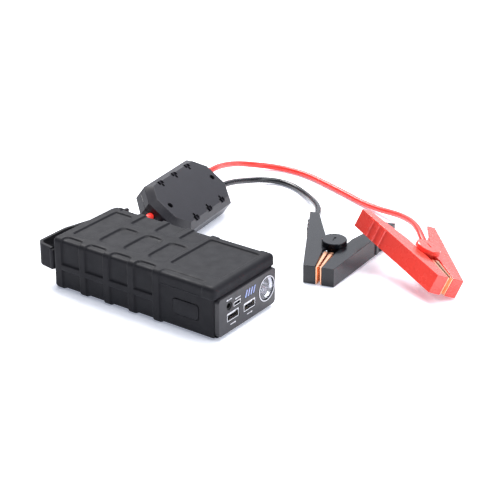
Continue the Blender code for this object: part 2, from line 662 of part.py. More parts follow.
def box_shell(name, low, high, inset, bevel, bevelled_height, parent):
    shell = plate(name, box_outline(inset), low, high, parent)
    return bevel_level(shell, bevelled_height, bevel, 1)


def make_smart_box():
    base = frame("smart_box", BOX_CENTRE, BOX_TURN)
    cover = box_shell("box_cover", BOX_SPLIT + GAP / 2, 0.0, 0.0, BOX_BEVEL, 0.0, base)
    cut(cover, box_shell("cover_inside", BOX_SPLIT - 5, -BOX_WALL, BOX_WALL, BOX_BEVEL, -BOX_WALL, base))
    tray = box_shell("box_base", BOX_DEPTH, BOX_SPLIT - GAP / 2, 0.0, BOX_FOOT_BEVEL, BOX_DEPTH, base)
    cut(tray, box_shell("base_inside", BOX_DEPTH + BOX_WALL, BOX_SPLIT + 5, BOX_WALL, BOX_FOOT_BEVEL,
                        BOX_DEPTH + BOX_WALL, base))
    edge = BOX_SIDE - BOX_BEVEL
    for side in (-1, 1):
        for index in (-1, 0, 1):
            x = index * VENT_PITCH
            for kind, (length, reach, depth) in {"slot": VENT_SLOT, "pocket": VENT_POCKET}.items():
                ends = sorted((side * (edge - reach), side * (edge + 1.5)))
                cut(cover, block(f"vent_{kind}_{side}_{index}", (x - length / 2, ends[0], -depth),
                                 (x + length / 2, ends[1], 3), parent=base))
    for index, x in enumerate((-SCREW_X, SCREW_X)):
        name = f"box_screw_{index + 1}"
        join(cover, rod(name + "_boss", 3.8, (x, 0, BOX_SPLIT + GAP / 2), (x, 0, -1.0), 20, parent=base))
        join(tray, rod(name + "_post", 3.8, (x, 0, BOX_DEPTH + 1.0), (x, 0, BOX_SPLIT - GAP / 2), 20, parent=base))
        cut(cover, rod(name + "_well", 2.4, (x, 0, -4.5), (x, 0, 5), 20, parent=base))
        cut(cover, rod(name + "_way", 1.5, (x, 0, -20), (x, 0, 0), 16, parent=base))
        cut(tray, rod(name + "_thread", 1.5, (x, 0, -19.5), (x, 0, -5), 16, parent=base))
        screw = turned(name, [(0, -2.4), (2.1, -2.4), (2.1, -4.2), (1.2, -4.2), (1.2, -19.0), (0, -19.0)],
                       (x, 0, 0), sides=16, parent=base)
        finish(screw, "steel", base, 35)
    for name, (y, z) in GLANDS.items():
        for shell in (cover, tray):
            cut(shell, rod(f"{name}_{shell.name}", 4.0, (30, y, z), (60, y, z), 24, parent=base))
        gland = rod(name, 3.7, (GLAND_START, y, z), (GLAND_TIP, y, z), 24, 3.0, base)
        finish(gland, "black_rubber", base, 35)
    finish(cover, "black_plastic", base)
    finish(tray, "black_plastic", base)
    board = block("box_board", (-28, -17, -14.6), (28, 17, -13.0), parent=base)
    finish(board, "board_green", base)
    relay = block("box_relay", (-12, -9, -12.7), (12, 9, -3.2), 0.8, 1, base)
    finish(relay, "black_plastic", base)


def make_cords():
    for name, route in LEAD_ROUTES.items():
        tube(name, smooth_points(route, 3.0), LEAD_RADIUS, name.replace("input_lead_", "") + "_rubber")
    tube("red_cable", smooth_points(RED_ROUTE, 9.0), CABLE_RADIUS, "red_rubber")
    tube("black_cable", smooth_points(BLACK_ROUTE, 9.0), CABLE_RADIUS, "black_rubber")


# ---------------------------------------------------------------- the clamps

def handle_outline(side, lug):
    """One half of a clamp seen from above; lug is the round ear about the pivot, or 0 for none."""
    points = [(TIP, TIP_INNER), (TIP, TIP_OUTER), (HANDLE_END, END_OUTER), (HANDLE_END, END_INNER), (12.0, 10.5)]
    if lug:
        for degrees in range(40, -220, -20):
            angle = math.radians(degrees)
            points.append((lug * math.cos(angle), lug * math.sin(angle)))
    points.append((-13.0, 5.5))
    return [(x, y * side) for x, y in points]


def channel_outline(side):
    """The hollow inside a half: it leaves the outer wall and the tip's front wall."""
    wall = CLAMP_WALL * 1.03
    slope = (END_OUTER - TIP_OUTER) / (HANDLE_END - TIP)
    front, back = TIP + CLAMP_WALL, HANDLE_END + 10
    return [(x, y * side) for x, y in [
        (front, -15.0), (front, TIP_OUTER - wall + slope * CLAMP_WALL),
        (back, END_OUTER - wall + slope * 10), (back, -15.0)]]


def make_handle(name, side, outer_ears, kind, base):
    """A moulded half: a channel with two ears that share the pivot pin."""
    half = plate(name, handle_outline(side, LUG_RADIUS if outer_ears else 0), 0, CLAMP_HEIGHT, base)
    cut(half, plate(name + "_channel", channel_outline(side), CLAMP_WALL, CLAMP_HEIGHT - CLAMP_WALL, base))
    slope = (END_OUTER - TIP_OUTER) / (HANDLE_END - TIP)
    for index, x in enumerate(GRIP_RIBS):
        y = TIP_OUTER + slope * (x - TIP)
        outline = [(x - 1.2, (y - 1.0) * side), (x - 0.8, (y + 0.8) * side),
                   (x + 1.6, (y + 1.3) * side), (x + 2.0, (y - 0.4) * side)]
        join(half, plate(f"{name}_rib_{index}", outline, 0.6, CLAMP_HEIGHT - 0.6, base))
    if not outer_ears:
        cut(half, rod(name + "_clearance", LUG_RADIUS + 0.6, (0, 0, -5), (0, 0, 25), 32, parent=base))
        reach = 6.0
        walls = [(TIP_OUTER + slope * (x - TIP) - CLAMP_WALL / 2) * side for x in (reach, -reach)]
        for level, low in enumerate((CLAMP_WALL + GAP, CLAMP_HEIGHT - 2 * CLAMP_WALL - GAP)):
            ear = plate(f"{name}_ear_{level}", [(-reach, 0), (reach, 0), (reach, walls[0]), (-reach, walls[1])],
                        low, low + CLAMP_WALL, base)
            join(ear, rod(f"{name}_ear_eye_{level}", EAR_RADIUS, (0, 0, low), (0, 0, low + CLAMP_WALL), 28, parent=base))
            join(half, ear)
    cut(half, rod(name + "_pin_hole", PIN_HOLE, (0, 0, -5), (0, 0, 25), 20, parent=base))
    finish(half, kind, base)


def make_jaw(name, side, base):
    """A toothed copper strip with a tail that is held in the half's channel."""
    outline = [(TIP + 0.2, 2.1), (JAW_END, 3.6)]
    x = JAW_END
    while x > TIP + 1.5:
        outline.append((x, 1.4))
        outline.append((x - TOOTH_PITCH / 2, 1.4 - TOOTH_DEPTH))
        x -= TOOTH_PITCH
    outline.append((TIP + 0.2, 1.4))
    jaw = plate(name, [(x, -y) for x, y in outline], 0.5, CLAMP_HEIGHT - 0.5, base)
    tail = plate(name + "_tail", [(-34, -1.7), (-16, -2.6), (-11.5, -7.6), (-34, -6.5)],
                 2.4, CLAMP_HEIGHT - 2.4, base)
    if side > 0:
        for shape in (jaw, tail):
            shape.data.transform(Matrix.Diagonal((1, -1, 1, 1)))
            shape.data.flip_normals()
    join(jaw, tail)
    finish(jaw, "copper", base)


def make_spring(name, side, base):
    """A torsion spring about the pin, with one leg along each half."""
    radius, turns, steps = 5.0, 4, 12
    low, high = 4.9, CLAMP_HEIGHT - 4.9
    points = [(20.0, 9.5 * side, low)]
    start = math.radians(-75)
    for step in range(turns * steps + 1):
        angle = start + 2 * math.pi * step / steps
        height = low + (high - low) * step / (turns * steps)
        points.append((radius * math.cos(angle), radius * math.sin(angle) * side, height))
    points.append((12.0, -7.5 * side, high))
    tube(name, points, 0.65, "steel", base)


def make_clamp(colour, pivot, turn, cable_side):
    base = frame(colour + "_clamp", pivot, turn)
    kind = colour + "_plastic"
    make_handle(colour + "_clamp_cable_handle", cable_side, True, kind, base)
    make_handle(colour + "_clamp_squeeze_handle", -cable_side, False, kind, base)
    make_jaw(colour + "_clamp_cable_jaw", cable_side, base)
    make_jaw(colour + "_clamp_squeeze_jaw", -cable_side, base)
    make_spring(colour + "_clamp_spring", cable_side, base)
    pin = turned(colour + "_clamp_pin", [(0, 15.2), (PIN_RADIUS, 15.2), (PIN_RADIUS, -0.3), (7.0, -0.3),
                                         (7.0, -1.3), (0, -1.3)], (0, 0, 0), sides=24, parent=base)
    finish(pin, "steel", base, 35)
    cap = turned(colour + "_clamp_cap", [(0, CAP_HEAD), (CAP_RADIUS - 0.5, CAP_HEAD), (CAP_RADIUS, CAP_HEAD - 0.5),
                                         (CAP_RADIUS, CAP_FOOT), (0, CAP_FOOT)], (0, 0, 0), sides=40, parent=base)
    cut(cap, block(colour + "_cap_slot", (-3, -0.8, CAP_HEAD - 0.6), (3, 0.8, CAP_HEAD + 3), parent=base))
    finish(cap, kind, base, 35)


clear_scene()
PARTS = collection("jump_starter_pack")
CUTTERS = collection("cutters")
MATERIALS = make_materials()
make_armour()
make_case()
make_front_panel()
make_ports()
make_lights_and_torch()
make_button()
make_board_and_cells()
make_socket()
make_plug()
make_strap()
make_smart_box()
make_cords()
for clamp_colour, clamp in CLAMPS.items():
    make_clamp(clamp_colour, clamp["pivot"], clamp["turn"], clamp["cable_side"])
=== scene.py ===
"""Looks for the pocket jump starter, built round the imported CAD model.

Tables are in millimetres; MM turns them into metres.
"""
import json
import math

import bmesh
import bpy
import numpy as np
from mathutils import Matrix, Vector


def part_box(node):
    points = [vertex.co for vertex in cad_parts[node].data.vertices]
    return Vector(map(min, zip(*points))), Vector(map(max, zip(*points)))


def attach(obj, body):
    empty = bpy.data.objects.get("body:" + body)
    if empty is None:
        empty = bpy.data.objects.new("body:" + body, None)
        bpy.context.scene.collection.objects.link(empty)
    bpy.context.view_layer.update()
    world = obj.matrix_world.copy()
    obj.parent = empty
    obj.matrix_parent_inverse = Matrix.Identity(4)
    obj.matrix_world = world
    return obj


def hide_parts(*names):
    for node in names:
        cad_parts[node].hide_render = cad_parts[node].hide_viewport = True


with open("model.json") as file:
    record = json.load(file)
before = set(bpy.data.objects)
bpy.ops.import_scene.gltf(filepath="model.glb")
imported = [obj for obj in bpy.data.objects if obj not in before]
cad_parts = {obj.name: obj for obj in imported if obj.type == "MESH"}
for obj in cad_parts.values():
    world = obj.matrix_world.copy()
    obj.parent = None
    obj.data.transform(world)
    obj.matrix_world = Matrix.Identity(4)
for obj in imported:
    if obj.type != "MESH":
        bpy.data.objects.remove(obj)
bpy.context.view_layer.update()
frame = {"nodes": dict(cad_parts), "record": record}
NODES = frame["nodes"]
BODY_OF = {node: body for body, nodes in frame["record"]["behaviour"]["bodies"].items() for node in nodes}
SLOT_OF = {row["node"]: row["material_slot"] for row in frame["record"]["subparts"]}
MM = 0.001
SCENE = bpy.context.scene

# The camera, solved from the straight edges of the object in the photograph; the lens is in true millimetres.
CAMERA_PLACE, CAMERA_TARGET, CAMERA_LENS = (632.96, -782.79, 507.90), (-12.08, 111.35, 0.0), 115.2
NEAR_CLIP = 50.0

# The two free cables: the points they pass, as in the CAD.
CABLE_RADIUS, CABLE_STEP = 2.5, 4.0
RED_ROUTE = [(-77.2, 157.7, 27.7), (-79.6, 170.0, 26.2), (-83.6, 184.0, 22.6), (-87.0, 202.0, 17.4),
             (-88.8, 220.0, 11.4), (-85.5, 236.0, 6.0), (-74.5, 247.0, 3.2), (-58.0, 250.5, 2.8),
             (-38.0, 249.0, 2.8), (-16.0, 242.5, 2.8), (7.0, 234.5, 2.8), (30.0, 226.0, 3.0),
             (52.0, 218.5, 4.8), (74.0, 209.0, 9.2), (92.0, 196.5, 13.4), (104.5, 185.0, 15.6),
             (114.5, 174.0, 16.0), (122.0, 166.0, 14.6), (129.0, 160.0, 13.0), (135.0, 155.0, 12.2),
             (139.6, 149.5, 12.0)]
BLACK_ROUTE = [(-66.4, 159.3, 16.8), (-67.2, 170.0, 15.2), (-67.8, 185.0, 11.8), (-67.2, 201.0, 7.4),
               (-64.4, 212.5, 4.8), (-57.3, 220.5, 3.3), (-46.5, 223.5, 2.8), (-33.0, 220.8, 2.8),
               (-20.0, 213.8, 3.4),
               (-8.0, 204.5, 5.4), (2.0, 195.0, 8.0), (11.0, 186.0, 10.0), (18.5, 177.0, 11.2),
               (24.5, 167.0, 11.8), (29.8, 156.5, 11.8), (35.5, 146.5, 11.4), (41.5, 137.5, 10.8),
               (47.6, 128.8, 10.4), (52.8, 121.8, 9.9)]

# The two short leads from the plug to the smart box.
LEAD_RADIUS, LEAD_STEP = 2.9, 1.5
RED_LEAD = [(-61.5, 46.6, 23.8), (-61.6, 50.5, 24.0), (-61.6, 58.6, 25.4), (-62.0, 61.8, 25.4)]
BLACK_LEAD = [(-53.4, 46.6, 20.2), (-53.4, 50.5, 20.2), (-54.0, 59.6, 20.0), (-54.4, 62.8, 20.0)]

# The rubber armour: outer form and the recesses between its ribs, as in the CAD.
REAR, FRONT, HALF_WIDTH, HEIGHT = -75.0, 73.0, 36.6, 41.0
EDGE_ROUND, STRAP_CORNER = 3.6, 8.0
RECESS, BAND_RECESS = 1.2, 0.6
PANEL_START, PANEL_PITCH, PANEL_LENGTH, PANEL_COUNT = -66.4, 22.7, 16.6, 4
CAVITY = ((-71.5, -33.0, 2.5), (70.5, 33.0, 38.3))
FRONT_OPENING = ((69.0, -34.4, 2.6), (80.0, 34.4, 31.9))
BUTTON_CENTRE, BUTTON_SIZE, BUTTON_GAP = (47.3, 18.0), (22.3, 11.6), 0.5
SOCKET_CENTRE, SOCKET_OPENING = (-57.0, 20.5), (26.0, 17.0)
OPENING_CORNER = 3.0
RIB_SLOPE, BAND_SLOPE = 0.5, 0.6
GRID_SPACING, CLOSEST_LINES = 1.7, 0.19
SKIN_CREASE = 48  # degrees

# Small details: the panel's outer face, the thickness of a print, the USB contacts and the torch's LED.
PANEL_FACE, PRINT_THICKNESS = 75.0, 0.04
CONTACT_OFFSETS, CONTACT_HALF_WIDTH = (-3.5, -1.0, 1.0, 3.5), 0.5
DOME_RADIUS, DOME_CENTRE, DOME_BACK = 2.3, 62.0, 61.75

# Scales of the surface patterns, per metre, and the depth of the fine grain in metres.
CLOUD_SCALE, PATCH_SCALE, GLOSS_SCALE = 55.0, 210.0, 120.0
GRAIN_DEPTH = 0.00012

# Limits for mending and rounding the CAD nodes' meshes: a distance and two angles in degrees.
SAME_POINT, FLAT_ANGLE, SHARP_ANGLE = 0.004, 0.6, 32.0


# ---------------------------------------------------------------- materials

def noise(tree, scale, detail=3.0, stretch=None, rough=0.55):
    """Noise in the piece's own coordinates, so that it stays put when the piece moves."""
    place = tree.nodes.new("ShaderNodeTexCoord")
    source = place.outputs["Object"]
    if stretch:
        mapping = tree.nodes.new("ShaderNodeMapping")
        mapping.inputs["Scale"].default_value = stretch
        tree.links.new(source, mapping.inputs["Vector"])
        source = mapping.outputs["Vector"]
    texture = tree.nodes.new("ShaderNodeTexNoise")
    texture.inputs["Scale"].default_value = scale
    texture.inputs["Detail"].default_value = detail
    texture.inputs["Roughness"].default_value = rough
    tree.links.new(source, texture.inputs["Vector"])
    return texture.outputs["Fac"]


def spread(tree, source, low, high, start=0.3, end=0.7):
    node = tree.nodes.new("ShaderNodeMapRange")
    node.inputs["From Min"].default_value = start
    node.inputs["From Max"].default_value = end
    node.inputs["To Min"].default_value = low
    node.inputs["To Max"].default_value = high
    tree.links.new(source, node.inputs["Value"])
    return node.outputs["Result"]


def ramp(tree, source, stops):
    node = tree.nodes.new("ShaderNodeValToRGB")
    element = node.color_ramp.elements
    while len(element) < len(stops):
        element.new(0.5)
    for item, (place, colour) in zip(element, stops):
        item.position = place
        item.color = (*colour, 1.0)
    tree.links.new(source, node.inputs["Fac"])
    return node.outputs["Color"]


def mix(tree, factor, first, second):
    node = tree.nodes.new("ShaderNodeMix")
    node.data_type = "RGBA"
    tree.links.new(factor, node.inputs["Factor"])
    tree.links.new(first, node.inputs["A"])
    if isinstance(second, tuple):
        node.inputs["B"].default_value = (*second, 1.0)
    else:
        tree.links.new(second, node.inputs["B"])
    return node.outputs["Result"]


def finish_of(name, colour, roughness, grain, bump, vary, edge=None, stretch=None, spots=None,
              **sockets):
    """A moulded or plated surface: cloudy colour, uneven gloss, fine grain, a lighter tint on sharp edges,
    spots.

    grain is the scale of the fine relief, bump its strength and vary how far the colour wanders.
    """
    made = bpy.data.materials.new(name)
    made.use_nodes = True
    tree = made.node_tree
    shader = tree.nodes["Principled BSDF"]
    dark = tuple(c * (1 - vary) for c in colour)
    light = tuple(min(1.0, c * (1 + vary)) for c in colour)
    tint = ramp(tree, noise(tree, CLOUD_SCALE, 5.0, stretch), [(0.32, dark), (0.68, light)])
    if spots:
        patch = spread(tree, noise(tree, PATCH_SCALE, 6.0, None, 0.7), 0.0, 1.0, 0.60, 0.78)
        tint = mix(tree, patch, tint, spots)
    if edge:
        # Tint the sharp convex edges lighter, found by pointiness.
        geometry = tree.nodes.new("ShaderNodeNewGeometry")
        edge_tint_mask = spread(tree, geometry.outputs["Pointiness"], 0.0, 1.0, 0.515, 0.60)
        tint = mix(tree, edge_tint_mask, tint, edge)
    tree.links.new(tint, shader.inputs["Base Color"])
    uneven = spread(tree, noise(tree, GLOSS_SCALE, 4.0, stretch), roughness * 0.88, roughness * 1.12)
    tree.links.new(uneven, shader.inputs["Roughness"])
    relief = tree.nodes.new("ShaderNodeBump")
    relief.inputs["Strength"].default_value = bump
    relief.inputs["Distance"].default_value = GRAIN_DEPTH
    tree.links.new(noise(tree, grain, 2.0, stretch), relief.inputs["Height"])
    tree.links.new(relief.outputs["Normal"], shader.inputs["Normal"])
    for label, value in sockets.items():
        shader.inputs[label.replace("_", " ")].default_value = value
    return made


FINISH = {
    "armour_rubber": finish_of("armour_rubber_look", (0.015, 0.015, 0.018), 0.55, 1500.0, 0.28, 0.10,
                               (0.022, 0.022, 0.026), Specular_IOR_Level=0.12),
    "black_plastic": finish_of("black_plastic_look", (0.016, 0.017, 0.020), 0.40, 1100.0, 0.25, 0.12),
    "box_plastic": finish_of("box_plastic_look", (0.014, 0.013, 0.018), 0.36, 1000.0, 0.20, 0.10),
    "grey_plastic": finish_of("panel_plastic_look", (0.016, 0.015, 0.019), 0.44, 900.0, 0.20, 0.10),
    "black_plastic_gloss": finish_of("clamp_black_look", (0.007, 0.008, 0.011), 0.24, 380.0, 0.10, 0.16,
                                     Coat_Weight=0.15, Coat_Roughness=0.15,
                                     Specular_IOR_Level=0.32),
    "red_plastic": finish_of("clamp_red_look", (0.88, 0.060, 0.042), 0.27, 380.0, 0.06, 0.03,
                             Coat_Weight=0.35, Coat_Roughness=0.14),
    "red_rubber": finish_of("red_sheath_look", (0.78, 0.030, 0.020), 0.36, 700.0, 0.18, 0.06,
                            Coat_Weight=0.15, Coat_Roughness=0.3),
    # The black sheaths; also laid on the black clamp's spring as painted shade round its coil.
    "black_rubber": finish_of("black_sheath_and_painted_spring_shade_look", (0.010, 0.011, 0.014), 0.28, 700.0, 0.18, 0.15),
    "steel": finish_of("steel_look", (0.66, 0.66, 0.68), 0.26, 900.0, 0.12, 0.08, None,
                       (1.0, 1.0, 7.0), Metallic=1.0),
    "chrome": finish_of("reflector_look", (0.50, 0.50, 0.53), 0.10, 260.0, 0.35, 0.06, Metallic=1.0),
    "copper": finish_of("copper_look", (0.86, 0.46, 0.29), 0.27, 800.0, 0.30, 0.12, None, None,
                        (0.55, 0.25, 0.14), Metallic=1.0),
    "brass": finish_of("brass_look", (0.83, 0.63, 0.28), 0.25, 900.0, 0.15, 0.10, Metallic=1.0),
    "board_green": finish_of("board_look", (0.008, 0.06, 0.028), 0.40, 500.0, 0.25, 0.20),
    "cell_silver": finish_of("pouch_look", (0.58, 0.59, 0.61), 0.38, 160.0, 0.5, 0.08, Metallic=0.7),
    "clear_lens": finish_of("lens_look", (0.96, 0.97, 1.0), 0.07, 200.0, 0.05, 0.02, Transmission_Weight=1.0,
                            IOR=1.25),
    "light_white": finish_of("light_bar_look", (0.30, 0.33, 0.62), 0.30, 600.0, 0.10, 0.08,
                             Subsurface_Weight=0.2),
    "led": finish_of("led_look", (0.95, 0.93, 0.70), 0.30, 600.0, 0.10, 0.06),
    "socket_blue": finish_of("socket_look", (0.03, 0.10, 0.42), 0.40, 900.0, 0.20, 0.12),
    "tongue": finish_of("tongue_look", (0.62, 0.62, 0.64), 0.42, 900.0, 0.15, 0.08),
    "print": finish_of("printed_mark_look", (0.72, 0.72, 0.76), 0.50, 1500.0, 0.15, 0.12),
    "gold": finish_of("gold_look", (0.95, 0.72, 0.34), 0.22, 900.0, 0.10, 0.06, Metallic=1.0),
    # Painted shade: near-black for parts that sit deep in holes and gaps.
    "hollow": finish_of("painted_shade_hollow_look", (0.008, 0.008, 0.009), 0.55, 900.0, 0.15, 0.15),
}


# ---------------------------------------------------------------- building helpers

def add(name, data):
    """A new object in the scene that shows a mesh or a curve."""
    piece = bpy.data.objects.new(name, data)
    SCENE.collection.objects.link(piece)
    return piece


def settle(piece, body, look, replaced=(), smooth=None):
    """Dress a piece, hang it on its body and hide the CAD nodes it replaces."""
    piece.data.materials.clear()
    piece.data.materials.append(FINISH[look])
    if smooth is not None:
        piece.data.shade_smooth()
        piece.data.set_sharp_from_angle(angle=math.radians(smooth))
    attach(piece, body)
    if replaced:
        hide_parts(*replaced)
    return piece


def from_bmesh(name, shape):
    """Turn a finished bmesh into an object."""
    mesh = bpy.data.meshes.new(name)
    shape.to_mesh(mesh)
    shape.free()
    return add(name, mesh)


def soften(node, width, look, shortest):
    """The CAD node's own shape, with its sharp edges longer than shortest rounded off."""
    source = NODES[node]
    shape = bmesh.new()
    for vertex in source.data.vertices:
        shape.verts.new(source.matrix_world @ vertex.co)
    shape.verts.ensure_lookup_table()
    for face in source.data.polygons:
        try:
            shape.faces.new([shape.verts[i] for i in face.vertices])
        except ValueError:
            continue
    bmesh.ops.remove_doubles(shape, verts=shape.verts, dist=SAME_POINT * MM)
    bmesh.ops.dissolve_limit(shape, angle_limit=math.radians(FLAT_ANGLE),
                             verts=shape.verts, edges=shape.edges)
    bmesh.ops.recalc_face_normals(shape, faces=shape.faces)
    weight = shape.edges.layers.float.new("bevel_weight_edge")
    for edge in shape.edges:
        sharp = edge.is_manifold and edge.calc_face_angle() > math.radians(SHARP_ANGLE)
        edge[weight] = float(sharp and edge.calc_length() > shortest * MM)
        edge.smooth = not sharp
    piece = from_bmesh(node + "_shell", shape)
    piece.data.polygons.foreach_set("use_smooth", [True] * len(piece.data.polygons))
    if width:
        bevel = piece.modifiers.new("edges", "BEVEL")
        bevel.width = width * MM
        bevel.segments = 2
        bevel.limit_method = "WEIGHT"
        bevel.use_clamp_overlap = True
        even = piece.modifiers.new("even_shading", "WEIGHTED_NORMAL")
        even.weight = 100
        even.keep_sharp = True
    return settle(piece, BODY_OF[node], look or SLOT_OF[node], [node])


def dress(node, look=None):
    """Give the CAD node its procedural material, whether it is shown or replaced."""
    for slot in NODES[node].material_slots:
        slot.material = FINISH[look or SLOT_OF[node]]


def block(name, low, high):
    """A box between two corners."""
    shape = bmesh.new()
    bmesh.ops.create_cube(shape, size=1.0)
    for vertex in shape.verts:
        vertex.co = [((a + b) / 2 + c * (b - a)) * MM for a, b, c in zip(low, high, vertex.co)]
    return from_bmesh(name, shape)


def prism(name, outline, low, high, matrix=Matrix()):
    """A flat outline raised from low to high, then turned and moved by a matrix."""
    shape = bmesh.new()
    bottom = [shape.verts.new(matrix @ (Vector((x, y, low)) * MM)) for x, y in outline]
    top = [shape.verts.new(matrix @ (Vector((x, y, high)) * MM)) for x, y in outline]
    shape.faces.new(bottom[::-1])
    shape.faces.new(top)
    for index in range(len(outline)):
        after = (index + 1) % len(outline)
        shape.faces.new((bottom[index], bottom[after], top[after], top[index]))
    bmesh.ops.recalc_face_normals(shape, faces=shape.faces)
    return from_bmesh(name, shape)


def oblong(centre, size, radius, steps=6):
    """The outline of a rectangle with round corners."""
    points = []
    for corner, (sx, sy) in enumerate([(1, 1), (-1, 1), (-1, -1), (1, -1)]):
        for step in range(steps + 1):
            angle = math.radians(corner * 90 + step * 90 / steps)
            points.append((centre[0] + sx * (size[0] / 2 - radius) + radius * math.cos(angle),
                           centre[1] + sy * (size[1] / 2 - radius) + radius * math.sin(angle)))
    return points


# Turn a flat outline (across, up) to lie in the near side's plane or in the front panel's plane.
FACING_Y = Matrix(((1, 0, 0, 0), (0, 0, 1, 0), (0, 1, 0, 0), (0, 0, 0, 1)))
FACING_X = Matrix(((0, 0, 1, 0), (1, 0, 0, 0), (0, 1, 0, 0), (0, 0, 0, 1)))


def smooth_points(route, spacing):
    """Evenly spaced points on a smooth line through the route."""
    knots = [Vector(point) for point in route]
    knots = [knots[0] * 2 - knots[1]] + knots + [knots[-1] * 2 - knots[-2]]
    dense = []
    for a, b, c, d in zip(knots, knots[1:], knots[2:], knots[3:]):
        for step in range(16):
            t = step / 16
            dense.append(0.5 * (2 * b + (c - a) * t + (2 * a - 5 * b + 4 * c - d) * t * t
                                + (3 * b - a - 3 * c + d) * t ** 3))
    dense.append(knots[-2])
    walked = [0.0]
    for a, b in zip(dense, dense[1:]):
        walked.append(walked[-1] + (b - a).length)
    count = round(walked[-1] / spacing)
    points, index = [], 0
    for step in range(count + 1):
        target = walked[-1] * step / count
        while index < len(walked) - 2 and walked[index + 1] < target:
            index += 1
        points.append(dense[index].lerp(dense[index + 1],
                                        (target - walked[index]) / (walked[index + 1] - walked[index])))
    return points


def sheath(name, route, radius, look, node, spacing):
    """A round cable along a route, standing for the CAD node."""
    curve = bpy.data.curves.new(name, "CURVE")
    curve.dimensions = "3D"
    curve.bevel_depth = radius * MM
    curve.bevel_resolution = 6
    curve.use_fill_caps = True
    points = smooth_points(route, spacing)
    spline = curve.splines.new("POLY")
    spline.points.add(len(points) - 1)
    for point, place in zip(spline.points, points):
        point.co = (*(place * MM), 1.0)
    spline.use_smooth = True
    piece = add(name, curve)
    curve.materials.append(FINISH[look])
    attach(piece, "lead")
    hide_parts(node)
    return piece


def cable(name, route, look, node):
    """A free cable, drawn as a round sheath."""
    piece = sheath(name, route, CABLE_RADIUS, look, node, CABLE_STEP)


# ---------------------------------------------------------------- camera and cords

def make_camera():
    camera = bpy.data.objects.new("photo_camera", bpy.data.cameras.new("photo_camera"))
    SCENE.collection.objects.link(camera)
    camera.data.lens = CAMERA_LENS
    camera.data.clip_start = NEAR_CLIP * MM
    camera.location = Vector(CAMERA_PLACE) * MM
    aim = (Vector(CAMERA_TARGET) - Vector(CAMERA_PLACE)).to_track_quat("-Z", "Y")
    camera.rotation_euler = aim.to_euler()
    SCENE.camera = camera


make_camera()
cable("red_cable_sheath", RED_ROUTE, "red_rubber", "red_cable")
cable("black_cable_sheath", BLACK_ROUTE, "black_rubber", "black_cable")
sheath("red_lead_sheath", RED_LEAD, LEAD_RADIUS, "red_rubber", "input_lead_red", LEAD_STEP)
sheath("black_lead_sheath", BLACK_LEAD, LEAD_RADIUS, "black_rubber", "input_lead_black", LEAD_STEP)


# ---------------------------------------------------------------- the rubber armour

def armour_prisms():
    """Footprints and heights of the sunk panels: (x0, x1, y0, y1, z0, z1, corner radius)."""
    over, under = 60.0, -20.0
    rows = [(PANEL_START, -50.0, -23.0, 26.0, 30.0, over, 2.0), (22.0, 66.0, -20.0, 28.0, 30.0, over, 2.0)]
    for index in range(PANEL_COUNT):
        x0, x1 = PANEL_START + index * PANEL_PITCH, PANEL_START + index * PANEL_PITCH + PANEL_LENGTH
        rows += [(x0, x1, -60.0, -29.3, 21.0, over, 3.5), (x0, x1, -60.0, -31.0, under, 16.0, 3.5),
                 (x0, x1, 15.0 if index else 29.3, 60.0, 21.0, over, 3.5),
                 (x0, x1, 31.0, 60.0, under, 16.0, 3.5)]
        if index:
            rows.append((x0, x1, -22.0, 7.3, 30.0, over, 5.0))
    rows += [(24.6, 120.0, -60.0, -31.0, under, 31.8, 3.5), (24.6, 120.0, 31.0, 60.0, under, 31.8, 3.5)]
    return rows


BANDS = [(24.6, 62.0, -60.0, -29.3, 31.8, 60.0, 3.5), (24.6, 62.0, 29.3, 60.0, 31.8, 60.0, 3.5)]


def sunk(points, rows, depth, soft):
    """How far each point sinks, with a slope of twice soft round each panel."""
    nearest = np.full(len(points), 1e9)
    for x0, x1, y0, y1, z0, z1, radius in rows:
        qx = np.abs(points[:, 0] - (x0 + x1) / 2) - (x1 - x0) / 2 + radius
        qy = np.abs(points[:, 1] - (y0 + y1) / 2) - (y1 - y0) / 2 + radius
        flat = np.hypot(np.maximum(qx, 0), np.maximum(qy, 0)) + np.minimum(np.maximum(qx, qy), 0) - radius
        nearest = np.minimum(nearest, np.maximum(flat, np.maximum(z0 - points[:, 2], points[:, 2] - z1)))
    t = np.clip((soft - nearest) / (2 * soft), 0, 1)
    return depth * t * t * (3 - 2 * t)


def grid_lines(low, high, edges, spacing):
    """Grid positions that are close together in the rounded edges and at each panel's edge."""
    lines = list(np.linspace(low, low + EDGE_ROUND, 6)) + list(np.linspace(high - EDGE_ROUND, high, 6))
    for edge in edges:
        lines += [edge - 0.55, edge - 0.2, edge + 0.2, edge + 0.55]
    lines += list(np.arange(low + EDGE_ROUND + spacing / 2, high - EDGE_ROUND, spacing))
    kept = []
    for value in sorted(v for v in lines if low <= v <= high):
        if not kept or value - kept[-1] > CLOSEST_LINES:
            kept.append(value)
    kept[-1] = high
    return kept


def round_rear_corner(points):
    """Ease the far rear upright corner out to its larger radius."""
    size, small = STRAP_CORNER, EDGE_ROUND
    offset = np.stack([REAR + size - points[:, 0], points[:, 1] - (HALF_WIDTH - size)], 1)
    inside = (offset > 1e-6).all(1)
    way = offset[inside] / np.linalg.norm(offset[inside], axis=1)[:, None]
    reach = size / way.max(1)
    inner = size - small
    total = way.sum(1) * inner
    arc = total + np.sqrt(np.maximum(total ** 2 - (2 * inner ** 2 - small ** 2), 0))
    corner = way.min(1) / way.max(1) * size > inner
    reach[corner] = arc[corner]
    scaled = offset[inside] * (size / reach)[:, None]
    points[inside, 0] = REAR + size - scaled[:, 0]
    points[inside, 1] = HALF_WIDTH - size + scaled[:, 1]


